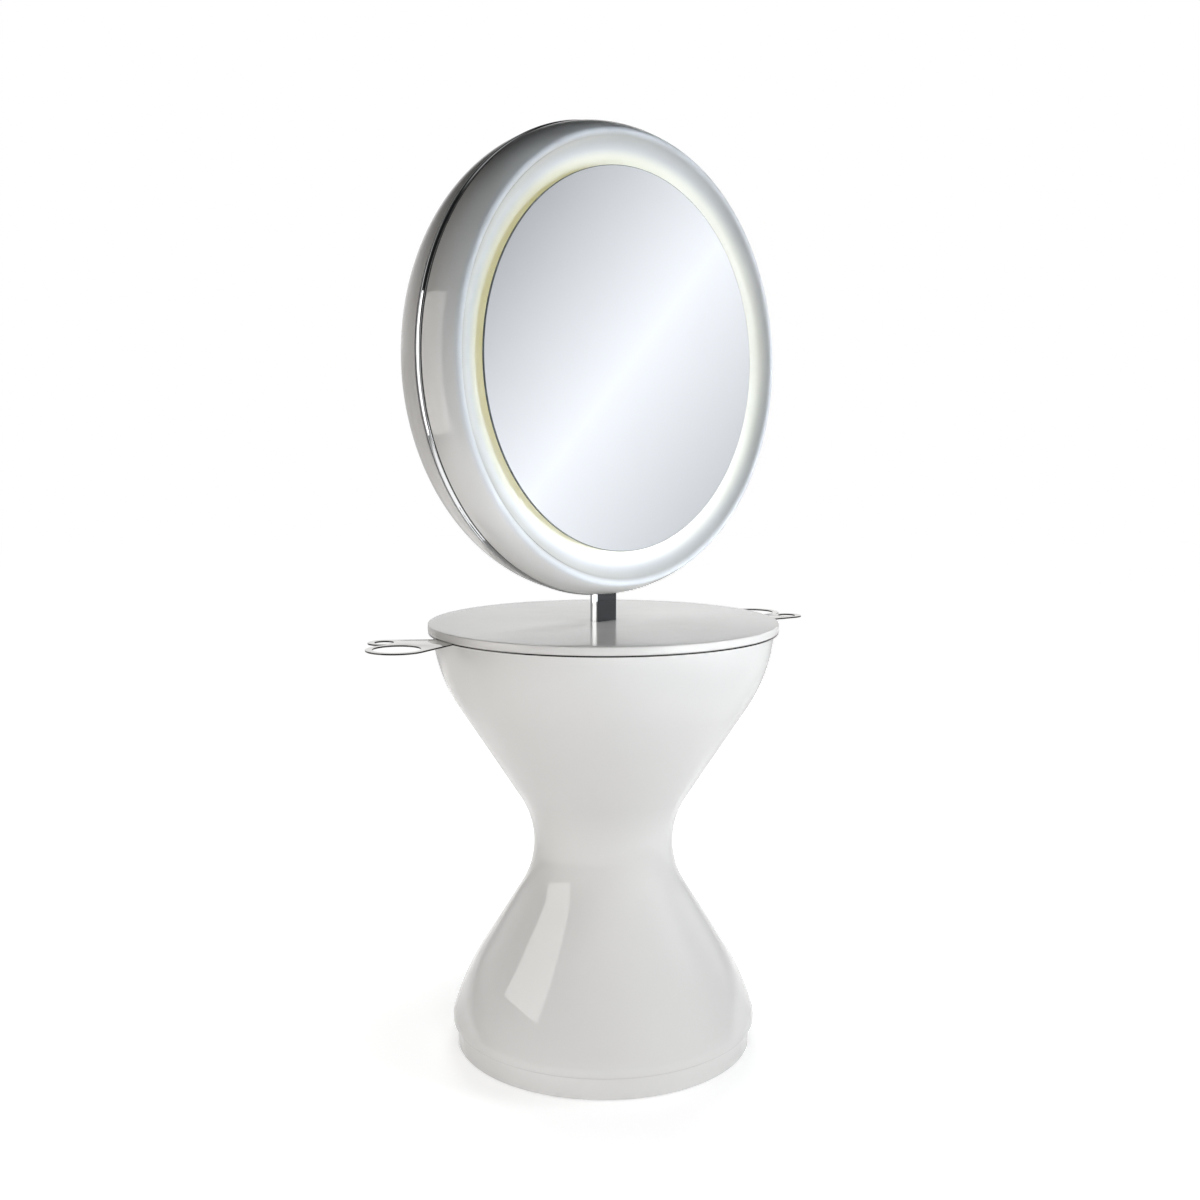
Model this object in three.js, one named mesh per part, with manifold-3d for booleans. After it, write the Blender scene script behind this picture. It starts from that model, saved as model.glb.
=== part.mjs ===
// Double sided salon station: an hourglass pedestal carries a round table, a chrome post
// and a round mirror head that is lit and glazed on both faces.
// Millimetres, +Z up, origin on the floor under the middle of the whole box, which the two ears
// put beside the post's axis. The mirrors face -Y and +Y.
import * as THREE from 'three';
import { mergeVertices } from 'three/addons/utils/BufferGeometryUtils.js';
import Module from 'manifold-3d';

const wasm = await Module();
wasm.setup();

// Fits
const seatGap = 0.3; // between pieces that rest against each other
const slipGap = 0.4; // round a bolt or a stud in its hole
const clipGap = 0.7; // round a lamp tube in its clip
const cutPast = 3; // a cut runs on past the surface
const sameSpot = 1e-4; // points this close count as one

// Facets
const bodySides = 32; // sides of the pedestal and the head
const discSides = 36; // sides of plates and boards
const tableSides = 48; // sides of the table top and its plate
const ringSides = 20; // sides of the tool rings and the larger holes
const smallSides = 8; // sides of feet, bolts and small holes
const hexSides = 6; // sides of a bolt's head
const bendFacet = 30; // degrees of a small bend in one facet
const sweepFacet = 14; // degrees of the pedestal's bends in one facet

// Feet and base
const footPadRadius = 22;
const footPadHeight = 6;
const footPadChamfer = 1;
const footStudRadius = 5;
const footStudLength = 32;
const footInset = 65; // foot centre inside the plinth's face
const footCount = 4;
const diagonal = 45; // degrees, the place of the first foot, core hole and standoff
const insertWall = 2.4;
const insertLip = 2; // insert showing under the base plate
const insertFlangeWidth = 5;
const insertFlangeHeight = 4;
const basePlateThickness = 15;
const plinthRadius = 300;
const plinthWall = 6;
const plinthLift = 2; // above the floor
const plinthTop = 46.4;
const plinthChamfer = 1.5;
const grommetBore = 8; // radius left for a lead
const grommetWall = 7.7;
const grommetFlangeWidth = 4;
const grommetFlangeHeight = 3;

// Pedestal: straight runs joined by arcs, given as corner points and corner radii
const pedestalWall = 5;
const rimInset = 9; // inside the table's edge
const shoulderInset = 7.5; // inside the rim
const shoulderDrop = 81.1; // below the rim
const shoulderBend = 325;
const waistRadius = 108.5;
const waistHeight = 417;
const waistBend = 178;
const hipInset = 26; // inside the skirt
const hipRise = 93.6; // above the plinth
const hipBend = 550;
const skirtOverhang = 9; // outside the plinth's face
const skirtRise = 14.6; // above the plinth
const skirtBend = 48;
const skirtTuck = 3; // rounding under the skirt
const skirtLedge = 15; // flange that stands on the plinth

// Table
const tableTopHeight = 866.4;
const tableRadius = 350;
const tableThickness = 16;
const tableEdgeRound = 2.5;
const tableEdgeSteps = 2;
const toolPlateThickness = 3;
const toolPlateInset = 0.5; // inside the table's edge

// Tool ears: two tapered links leave one neck, each with a ring at its end. The two ears have
// one shape, and each has its own place round the table and its own heading.
const neckRadius = 27;
const dryerLink = 129; // neck to ring centre
const dryerRingBore = 44;
const dryerRingWidth = 13;
const handLink = 121; // neck to ring centre
const handRingBore = 18;
const handRingWidth = 13;
const linkSpread = 41; // degrees between the two links
const leftNeckInset = 12; // inside the table's edge
const leftNeckPlace = 165.6; // degrees round the table
const leftEarHeading = 184; // degrees, the way the dryer link points
const rightNeckInset = 26;
const rightNeckPlace = -20.6;
const rightEarHeading = 30.7;

// Post and the column that holds it
const postWidth = 60;
const postDepth = 20;
const postWall = 2;
const postCorner = 5;
const sleeveWall = 6.4;
const sleeveLength = 140;
const postStopThickness = 6;
const postStopBore = 6;
const columnWall = 3;
const columnFlangeThickness = 10;
const columnFlangeRim = 14; // plate outside the bolt heads
const columnBoltRadius = 6;
const columnBoltHead = 10;
const columnBoltHeadHeight = 8;
const columnBoltSpace = 5; // between a bolt's head and the tube
const columnBoltCount = 4;

// Cross shaped table support
const crossThickness = 8;
const crossArms = 4;
const crossInset = 41; // ends of the arms inside the pedestal's rim
const crossArmWidth = 56;
const crossInnerBend = 45;
const crossEndRound = 14;
const tableScrewInset = 38; // from the ends of the arms
const tableScrewRadius = 3;
const tableScrewHead = 7;
const tableScrewHeadHeight = 5;
const tableScrewBite = 10; // length inside the table top

// Mirror head
const headLift = 52.6; // clear space between the table top and the head
const bandCrown = 2.5; // stands proud of the shells' rims
const bandThickness = 8;
const bandArcSteps = 4;
const headWall = 4;
const headWallBend = 123.5;
const headArcSteps = 4;
const headInnerSteps = 3; // facets of each arc on the hidden side
const lipBorder = 55.4; // from the mirror's edge to the centre of the rolled lip
const wallRun = 33.1; // from the centre of the rolled lip to the rim
const lipDepth = 61.9; // centre of the rolled lip, from the head's middle plane
const lipRound = 19.9;
const coveFloorDepth = 48; // cove floor, from the head's middle plane
const coveBend = 30;
const mirrorRadius = 366;
const mirrorThickness = 5;
const mirrorEdgeRound = 1;
const backingInset = 68; // inside the mirror's edge
const backingThickness = 18;
const backingBore = 40;
const floorLap = 36; // cove floor under the backing
const lampInset = 41; // inside the mirror's edge
const lampTube = 7;
const lampSides = 6;
const lampSteps = 36;
const lampLift = 9.5; // tube centre above the cove floor
const clipCount = 3;
const clipWall = 2.4;
const clipWidth = 10;
const corePlateRim = 26; // plate outside the standoffs' circle
const corePlateThickness = 3;
const coreHoleCount = 4;
const coreHoleRadius = 70;
const coreHoleInset = 137; // hole centre inside the plate's edge
const standoffInset = 24; // from the cove floor's inner edge
const standoffRadius = 10;
const standoffCount = 4;
const postAboveCentre = 60;
const headBoltRadius = 4;
const headBoltHead = 7;
const headBoltHeadHeight = 5;
const headBoltPitch = 100;
const headBoltCount = 3;
const driverLength = 150;
const driverWidth = 44;
const driverHeight = 28;
const driverOffset = 170; // driver centre to one side of the post
const driverRound = 4;

// Heights and depths that follow
const tableBottom = tableTopHeight - tableThickness;
const toolPlateBottom = tableBottom - toolPlateThickness;
const rimHeight = toolPlateBottom - seatGap;
const rimRadius = tableRadius - rimInset;
const skirtRadius = plinthRadius + skirtOverhang;
const crossReach = rimRadius - crossInset;
const tableScrewReach = crossReach - tableScrewInset;
const crossBottom = toolPlateBottom - crossThickness;
const insertBottom = footPadHeight + seatGap;
const basePlateBottom = insertBottom + insertLip;
const basePlateTop = basePlateBottom + basePlateThickness;
const columnFlangeTop = basePlateTop + columnFlangeThickness;
const sleeveBottom = crossBottom - sleeveLength;
const slotWidth = postWidth + 2 * seatGap;
const slotDepth = postDepth + 2 * seatGap;
const slotCorner = postCorner + seatGap;
const sleeveWidth = slotWidth + 2 * sleeveWall;
const sleeveDepth = slotDepth + 2 * sleeveWall;
const columnBore = Math.hypot(sleeveWidth, sleeveDepth) / 2 + slipGap;
const columnRadius = columnBore + columnWall;
const columnBoltReach = columnRadius + columnBoltSpace + columnBoltHead;
const columnFlangeRadius = columnBoltReach + columnBoltHead + columnFlangeRim;
const insertRadius = footStudRadius + slipGap + insertWall;
const grommetRadius = grommetBore + grommetWall;
const grommetFlangeRadius = grommetRadius + grommetFlangeWidth;
const lipRadius = mirrorRadius + lipBorder;
const headRimRadius = lipRadius + wallRun;
const headCentreHeight = tableTopHeight + headLift + headRimRadius + bandCrown;
const backingRadius = mirrorRadius - backingInset;
const coveFloorInner = backingRadius - floorLap;
const lampRadius = mirrorRadius - lampInset;
const standoffReach = coveFloorInner + standoffInset;
const corePlateRadius = standoffReach + corePlateRim;
const headHalfGap = postDepth / 2 + seatGap;
const coreOuter = headHalfGap + corePlateThickness;
const coveInnerFace = coveFloorDepth - headWall;
const mirrorBack = coveFloorDepth + backingThickness + seatGap;
const postBottom = sleeveBottom + seatGap;
const postTop = headCentreHeight + postAboveCentre;

const radians = THREE.MathUtils.degToRad;
const point = (x, y) => new THREE.Vector2(x, y);
const polar = (reach, degrees) => point(reach, 0).rotateAround(point(0, 0), radians(degrees));

const station = new THREE.Group();

// Finishes
const finish = (color, roughness, metalness) => () =>
  new THREE.MeshStandardMaterial({ color, roughness, metalness });
const glossWhite = finish(0xf1f0ec, 0.15, 0);
const tableWhite = finish(0xe6e6e4, 0.3, 0);
const chrome = finish(0xd8dadd, 0.05, 1);
const polishedSteel = finish(0xc9ccce, 0.12, 1);
const paintedSteel = finish(0x4a4d50, 0.5, 0.4);
const zincSteel = finish(0xb4b8ba, 0.35, 1);
const mirrorGlass = finish(0xdfe6ec, 0.02, 1);
const fibreboard = finish(0x8a6f52, 0.85, 0);
const lampGlass = finish(0xfff1c9, 0.3, 0);
const greyPlastic = finish(0x9a9c9e, 0.5, 0);
const blackRubber = finish(0x222222, 0.8, 0);

// Solids
function addPiece(name, geometry, material) {
  const mesh = new THREE.Mesh(geometry, material());
  mesh.name = name;
  station.add(mesh);
  return mesh;
}

function toManifold(geometry) {
  const bare = geometry.clone();
  bare.deleteAttribute('normal');
  bare.deleteAttribute('uv');
  const merged = mergeVertices(bare, sameSpot);
  return new wasm.Manifold(new wasm.Mesh({
    numProp: 3,
    vertProperties: new Float32Array(merged.attributes.position.array),
    triVerts: new Uint32Array(merged.index.array),
  }));
}

function toGeometry(solid) {
  const mesh = solid.getMesh();
  const geometry = new THREE.BufferGeometry();
  geometry.setAttribute('position', new THREE.BufferAttribute(mesh.vertProperties, 3));
  geometry.setIndex(new THREE.BufferAttribute(mesh.triVerts, 1));
  geometry.computeVertexNormals();
  return geometry;
}

const cut = (geometry, tools) =>
  toGeometry(tools.reduce((solid, tool) => solid.subtract(toManifold(tool)), toManifold(geometry)));
const join = ([first, ...others]) =>
  toGeometry(others.reduce((solid, next) => solid.add(toManifold(next)), toManifold(first)));

// A closed outline of (radius, height) points turned about the Z axis
function turnedUpright(outline, sides) {
  return new THREE.LatheGeometry([...outline, outline[0]], sides).rotateX(Math.PI / 2);
}

// An outline of (radius, height) points from axis to axis, turned about the Z axis
function turnedSolid(outline, sides) {
  return new THREE.LatheGeometry(outline, sides).rotateX(Math.PI / 2);
}

// A flat shape pushed up from one height to another
function raised(shape, bottom, top) {
  const solid = new THREE.ExtrudeGeometry(shape, { depth: top - bottom, bevelEnabled: false });
  return solid.translate(0, 0, bottom);
}

function circleShape(radius, sides, x = 0, y = 0) {
  return new THREE.Shape(arcPoints(point(x, y), radius, 0, 2 * Math.PI, sides).slice(0, -1));
}

// Bends a run of corner points, each to its own radius, one facet for so many degrees.
// Two bends share a run that is too short for both.
function bendCorners(corners, neighbours, facet) {
  const bends = corners.map((corner, i) => {
    const [before, after] = neighbours(i);
    const back = point(before.x - corner.x, before.y - corner.y);
    const ahead = point(after.x - corner.x, after.y - corner.y);
    const half = back.angleTo(ahead) / 2;
    return { before, after, back, ahead, half, run: (corner.bend ?? 0) / Math.tan(half) };
  });
  const wanted = new Map(corners.map((corner, i) => [corner, bends[i].run]));
  return corners.flatMap((corner, i) => {
    const { before, after, back, ahead, half, run } = bends[i];
    const share = (side, other) => (side.length() * run) / (run + (wanted.get(other) ?? 0));
    const reach = Math.min(run, share(back, before), share(ahead, after));
    const radius = reach * Math.tan(half);
    const start = point(corner.x, corner.y).addScaledVector(back.clone().normalize(), reach);
    const inward = back.clone().normalize().add(ahead.clone().normalize()).normalize();
    const centre = point(corner.x, corner.y).addScaledVector(inward, radius / Math.sin(half));
    const turn = Math.sign(back.cross(ahead)) * (2 * half - Math.PI);
    const from = start.sub(centre).angle();
    const steps = Math.ceil(Math.abs(turn) / radians(facet) - sameSpot);
    return arcPoints(centre, radius, from, from + turn, steps);
  });
}

// An open run: its two ends stay where they are
function bentOutline(corners, facet) {
  const inner = corners.slice(1, -1);
  const bent = bendCorners(inner, (i) => [corners[i], corners[i + 2]], facet);
  const [first, last] = [corners[0], corners[corners.length - 1]];
  return [point(first.x, first.y), ...bent, point(last.x, last.y)];
}

// A closed polygon with every corner bent
function bentShape(corners) {
  const count = corners.length;
  const around = (i) => [corners[(i + count - 1) % count], corners[(i + 1) % count]];
  return new THREE.Shape(bendCorners(corners, around, bendFacet));
}

function roundedRectangle(width, depth, bend) {
  const x = width / 2;
  const y = depth / 2;
  return bentShape([
    { x, y: -y, bend },
    { x, y, bend },
    { x: -x, y, bend },
    { x: -x, y: -y, bend },
  ]);
}

// The points of an arc, both ends included
function arcPoints(centre, radius, from, to, steps) {
  return Array.from({ length: steps + 1 }, (_, i) => {
    const angle = from + ((to - from) * i) / steps;
    return point(centre.x + radius * Math.cos(angle), centre.y + radius * Math.sin(angle));
  });
}

// The places of a ring of repeated pieces
function ringPlaces(count, reach, firstDegrees) {
  return Array.from({ length: count }, (_, i) => polar(reach, firstDegrees + (360 * i) / count));
}

// A bolt or screw along Z: a head of six sides under or over a round shank
function boltGeometry(shankRadius, headRadius, headBottom, headTop, shankBottom, shankTop) {
  const headUp = shankTop <= headBottom;
  const head = turnedSolid(
    [point(0, headBottom), point(headRadius, headBottom), point(headRadius, headTop), point(0, headTop)],
    hexSides,
  );
  const overlap = (headTop - headBottom) / 2;
  const low = headUp ? shankBottom : shankBottom - overlap;
  const high = headUp ? shankTop + overlap : shankTop;
  const shank = turnedSolid(
    [point(0, low), point(shankRadius, low), point(shankRadius, high), point(0, high)],
    smallSides,
  );
  return join([head, shank]);
}

const postSlot = () => roundedRectangle(slotWidth, slotDepth, slotCorner);

// Levelling feet and their threaded inserts
const footPlaces = ringPlaces(footCount, plinthRadius - footInset, diagonal);

function footGeometry() {
  return turnedSolid([
    point(0, 0),
    point(footPadRadius - footPadChamfer, 0),
    point(footPadRadius, footPadChamfer),
    point(footPadRadius, footPadHeight),
    point(footStudRadius, footPadHeight),
    point(footStudRadius, footPadHeight + footStudLength),
    point(0, footPadHeight + footStudLength),
  ], smallSides);
}

function insertGeometry() {
  const bore = footStudRadius + slipGap;
  const flangeBottom = basePlateTop + seatGap;
  const flangeTop = flangeBottom + insertFlangeHeight;
  const flangeRadius = insertRadius + insertFlangeWidth;
  return turnedUpright([
    point(bore, insertBottom),
    point(insertRadius, insertBottom),
    point(insertRadius, flangeBottom),
    point(flangeRadius, flangeBottom),
    point(flangeRadius, flangeTop),
    point(bore, flangeTop),
  ], smallSides);
}

footPlaces.forEach((place, i) => {
  addPiece(`foot_${i + 1}`, footGeometry(), blackRubber).position.set(place.x, place.y, 0);
  addPiece(`foot_insert_${i + 1}`, insertGeometry(), zincSteel).position.set(place.x, place.y, 0);
});

// Base plate, plinth ring and the floor grommet for the lead
const columnBoltPlaces = ringPlaces(columnBoltCount, columnBoltReach, 0);
const basePlateShape = circleShape(plinthRadius - plinthWall - seatGap, discSides);
basePlateShape.holes.push(circleShape(grommetRadius + seatGap, smallSides));
footPlaces.forEach((place) => {
  basePlateShape.holes.push(circleShape(insertRadius + seatGap, smallSides, place.x, place.y));
});
columnBoltPlaces.forEach((place) => {
  basePlateShape.holes.push(circleShape(columnBoltRadius + slipGap, smallSides, place.x, place.y));
});
addPiece('base_plate', raised(basePlateShape, basePlateBottom, basePlateTop), paintedSteel);

addPiece('plinth_ring', turnedUpright([
  point(plinthRadius - plinthWall, plinthLift),
  point(plinthRadius - plinthChamfer, plinthLift),
  point(plinthRadius, plinthLift + plinthChamfer),
  point(plinthRadius, plinthTop),
  point(plinthRadius - plinthWall, plinthTop),
], discSides), glossWhite);

addPiece('cable_grommet', turnedUpright([
  point(grommetBore, basePlateBottom - seatGap - grommetFlangeHeight),
  point(grommetFlangeRadius, basePlateBottom - seatGap - grommetFlangeHeight),
  point(grommetFlangeRadius, basePlateBottom - seatGap),
  point(grommetRadius, basePlateBottom - seatGap),
  point(grommetRadius, basePlateTop + seatGap),
  point(grommetFlangeRadius, basePlateTop + seatGap),
  point(grommetFlangeRadius, basePlateTop + seatGap + grommetFlangeHeight),
  point(grommetBore, basePlateTop + seatGap + grommetFlangeHeight),
], smallSides), blackRubber);

// Hourglass pedestal: the outer outline, and the same arcs moved in by the wall
function pedestalOutline() {
  const rim = point(rimRadius, rimHeight);
  const foot = point(skirtRadius, plinthTop + seatGap + skirtTuck);
  const corners = [
    rim,
    { x: rimRadius - shoulderInset, y: rimHeight - shoulderDrop, bend: shoulderBend },
    { x: waistRadius, y: waistHeight, bend: waistBend },
    { x: skirtRadius - hipInset, y: plinthTop + hipRise, bend: hipBend },
    { x: skirtRadius, y: plinthTop + skirtRise, bend: skirtBend },
    foot,
  ];
  const outer = bentOutline(corners, sweepFacet);
  const inner = outer.map((here, i) => {
    const before = outer[Math.max(i - 1, 0)];
    const after = outer[Math.min(i + 1, outer.length - 1)];
    const along = after.clone().sub(before).normalize();
    return point(here.x + along.y * pedestalWall, here.y - along.x * pedestalWall);
  });
  inner[0].y = rim.y;
  inner[inner.length - 1].y = foot.y;
  const ledgeInner = skirtRadius - skirtLedge;
  const ledge = [
    point(skirtRadius - skirtTuck, plinthTop + seatGap),
    point(ledgeInner, plinthTop + seatGap),
    point(ledgeInner, foot.y),
  ];
  return [...outer, ...ledge, ...inner.reverse()].reverse();
}
addPiece('pedestal_shell', turnedUpright(pedestalOutline(), bodySides), glossWhite);

// Column: flange, bolts and tube
const columnFlangeShape = circleShape(columnFlangeRadius, ringSides);
columnFlangeShape.holes.push(circleShape(grommetFlangeRadius + slipGap, smallSides));
columnBoltPlaces.forEach((place) => {
  columnFlangeShape.holes.push(circleShape(columnBoltRadius + slipGap, smallSides, place.x, place.y));
});
addPiece('column_flange', raised(columnFlangeShape, basePlateTop, columnFlangeTop), paintedSteel);

columnBoltPlaces.forEach((place, i) => {
  const geometry = boltGeometry(
    columnBoltRadius,
    columnBoltHead,
    columnFlangeTop,
    columnFlangeTop + columnBoltHeadHeight,
    basePlateBottom,
    columnFlangeTop,
  );
  addPiece(`column_bolt_${i + 1}`, geometry, zincSteel).position.set(place.x, place.y, 0);
});

const columnShape = circleShape(columnRadius, ringSides);
columnShape.holes.push(circleShape(columnBore, ringSides));
addPiece('column_tube', raised(columnShape, columnFlangeTop, crossBottom), paintedSteel);

// Cross shaped support under the table, with its screws
const tableScrewPlaces = ringPlaces(crossArms, tableScrewReach, 0);

function crossShape() {
  const half = crossArmWidth / 2;
  const corners = [];
  for (let arm = 0; arm < crossArms; arm += 1) {
    const turn = (x, y, bend) => {
      const turned = point(x, y).rotateAround(point(0, 0), (2 * Math.PI * arm) / crossArms);
      corners.push({ x: turned.x, y: turned.y, bend });
    };
    turn(half, -half, crossInnerBend);
    turn(crossReach, -half, crossEndRound);
    turn(crossReach, half, crossEndRound);
  }
  const shape = bentShape(corners);
  shape.holes.push(postSlot());
  tableScrewPlaces.forEach((place) => {
    shape.holes.push(circleShape(tableScrewRadius + slipGap, smallSides, place.x, place.y));
  });
  return shape;
}
addPiece('table_support', raised(crossShape(), crossBottom, toolPlateBottom), paintedSteel);

tableScrewPlaces.forEach((place, i) => {
  const geometry = boltGeometry(
    tableScrewRadius,
    tableScrewHead,
    crossBottom - tableScrewHeadHeight,
    crossBottom,
    crossBottom,
    tableBottom + tableScrewBite,
  );
  addPiece(`table_screw_${i + 1}`, geometry, zincSteel).position.set(place.x, place.y, 0);
});

const screwHoles = (bottom, top) =>
  tableScrewPlaces.map((place) =>
    raised(circleShape(tableScrewRadius + slipGap, smallSides, place.x, place.y), bottom, top));

// Tool plate: a steel disc with two ears, each of two tapered links with a ring at its end
function taperedLink(start, startRadius, end, endRadius) {
  const along = end.clone().sub(start);
  const lean = Math.acos((startRadius - endRadius) / along.length());
  const heading = along.angle();
  return new THREE.Shape([
    ...arcPoints(end, endRadius, heading - lean, heading + lean, ringSides / 2),
    ...arcPoints(start, startRadius, heading + lean, heading - lean + 2 * Math.PI, ringSides / 4),
  ]);
}

function earRings(neck, heading) {
  const dryerCentre = neck.clone().add(polar(dryerLink, heading));
  const handCentre = neck.clone().add(polar(handLink, heading - linkSpread));
  return [
    { neck, centre: dryerCentre, bore: dryerRingBore, width: dryerRingWidth },
    { neck, centre: handCentre, bore: handRingBore, width: handRingWidth },
  ];
}
const toolRings = [
  ...earRings(polar(tableRadius - leftNeckInset, leftNeckPlace), leftEarHeading),
  ...earRings(polar(tableRadius - rightNeckInset, rightNeckPlace), rightEarHeading),
];

function toolPlateGeometry() {
  const below = toolPlateBottom - cutPast;
  const above = tableBottom + cutPast;
  const disc = raised(circleShape(tableRadius - toolPlateInset, tableSides), toolPlateBottom, tableBottom);
  const links = toolRings.map(({ neck, centre, bore, width }) =>
    raised(taperedLink(neck, neckRadius, centre, bore + width), toolPlateBottom, tableBottom));
  const rings = toolRings.map(({ centre, bore }) =>
    raised(circleShape(bore, ringSides, centre.x, centre.y), below, above));
  const slot = raised(postSlot(), below, above);
  return cut(join([disc, ...links]), [...rings, ...screwHoles(below, above), slot]);
}
addPiece('tool_plate', toolPlateGeometry(), polishedSteel);

// Table top
function tableGeometry() {
  const round = tableEdgeRound;
  const edge = tableRadius - round;
  const outline = [
    point(0, tableBottom),
    ...arcPoints(point(edge, tableBottom + round), round, -Math.PI / 2, 0, tableEdgeSteps),
    ...arcPoints(point(edge, tableTopHeight - round), round, 0, Math.PI / 2, tableEdgeSteps),
    point(0, tableTopHeight),
  ];
  const below = tableBottom - cutPast;
  const slot = raised(postSlot(), below, tableTopHeight + cutPast);
  const holes = screwHoles(below, tableBottom + tableScrewBite + slipGap);
  return cut(turnedSolid(outline, tableSides), [slot, ...holes]);
}
addPiece('table_top', tableGeometry(), tableWhite);

// Post with its sleeve and stop
const sleeveShape = roundedRectangle(sleeveWidth, sleeveDepth, slotCorner + sleeveWall);
sleeveShape.holes.push(postSlot());
addPiece('post_sleeve', raised(sleeveShape, sleeveBottom, crossBottom), paintedSteel);

const postStopShape = roundedRectangle(sleeveWidth, sleeveDepth, slotCorner + sleeveWall);
postStopShape.holes.push(circleShape(postStopBore, smallSides));
addPiece('post_stop', raised(postStopShape, sleeveBottom - postStopThickness, sleeveBottom), zincSteel);

const headBoltHeights = Array.from({ length: headBoltCount }, (_, i) =>
  headCentreHeight + postAboveCentre / 2 - i * headBoltPitch);

// A round rod along Y, at a height on the post's centre line
function crossRod(radius, length, height) {
  return new THREE.CylinderGeometry(radius, radius, length, smallSides).translate(0, 0, height);
}

const postBoreWidth = postWidth - 2 * postWall;
const postBoreDepth = postDepth - 2 * postWall;
const postShape = roundedRectangle(postWidth, postDepth, postCorner);
postShape.holes.push(roundedRectangle(postBoreWidth, postBoreDepth, postCorner - postWall));
const boltBores = headBoltHeights.map((height) =>
  crossRod(headBoltRadius + slipGap, postDepth + 2 * cutPast, height));
addPiece('chrome_post', cut(raised(postShape, postBottom, postTop), boltBores), chrome);

// Bolts that clamp the post between the two core plates
headBoltHeights.forEach((height, i) => {
  const outer = coreOuter + headBoltHeadHeight;
  const shank = crossRod(headBoltRadius, 2 * coreOuter + headBoltHeadHeight, height);
  const heads = [-1, 1].map((face) =>
    new THREE.CylinderGeometry(headBoltHead, headBoltHead, headBoltHeadHeight, hexSides)
      .translate(0, face * (outer - headBoltHeadHeight / 2), height));
  addPiece(`head_bolt_${i + 1}`, join([shank, ...heads]), zincSteel);
});

// Chrome band where the shells meet, open at the bottom for the post
function bandGeometry() {
  const half = headHalfGap - seatGap;
  const crown = Array.from({ length: bandArcSteps + 1 }, (_, i) => {
    const angle = Math.PI * (i / bandArcSteps - 0.5);
    return point(headRimRadius + bandCrown * Math.cos(angle), half * Math.sin(angle));
  });
  const inside = headRimRadius - bandThickness;
  const outline = [point(inside, -half), ...crown, point(inside, half)];
  const ring = new THREE.LatheGeometry([...outline, outline[0]], bodySides);
  const gapDepth = 2 * (half + cutPast);
  const gapHeight = 2 * (bandThickness + cutPast);
  const gap = new THREE.BoxGeometry(slotWidth, gapDepth, gapHeight).translate(0, 0, -headRimRadius);
  return cut(ring, [gap]).translate(0, 0, headCentreHeight);
}
addPiece('chrome_band', bandGeometry(), chrome);

// Head shell: outer wall, rolled lip, cove and floor, all arcs that share their centres
// with the inner side. Points are (distance from the head's axis, distance from its middle plane).
function shellOutline() {
  const rim = point(headRimRadius, headHalfGap);
  const lip = point(lipRadius, lipDepth);
  const span = lip.clone().sub(rim);
  const reach = headWallBend - lipRound;
  const toFoot = (headWallBend ** 2 - reach ** 2 + span.lengthSq()) / (2 * span.length());
  const offAxis = Math.sqrt(headWallBend ** 2 - toFoot ** 2);
  const ahead = span.clone().normalize();
  const aside = point(-ahead.y, ahead.x);
  const wallCentre = rim.clone().addScaledVector(ahead, toFoot).addScaledVector(aside, offAxis);
  const coveHeight = coveFloorDepth + coveBend;
  const coveOffset = Math.sqrt((lipRound + coveBend) ** 2 - (coveHeight - lipDepth) ** 2);
  const coveCentre = point(lipRadius - coveOffset, coveHeight);
  const lipStart = lip.clone().sub(wallCentre).angle();
  const lipEnd = coveCentre.clone().sub(lip).angle();
  const face = (inset, steps) => {
    const wallBend = headWallBend - inset;
    const wallStart = Math.asin((headHalfGap - wallCentre.y) / wallBend);
    return [
      ...arcPoints(wallCentre, wallBend, wallStart, lipStart, steps),
      ...arcPoints(lip, lipRound - inset, lipStart, lipEnd, steps).slice(1),
      ...arcPoints(coveCentre, coveBend + inset, lipEnd - Math.PI, -Math.PI / 2, steps).slice(1),
      point(coveFloorInner, coveFloorDepth - inset),
    ];
  };
  return [...face(0, headArcSteps), ...face(headWall, headInnerSteps).reverse()];
}

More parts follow.
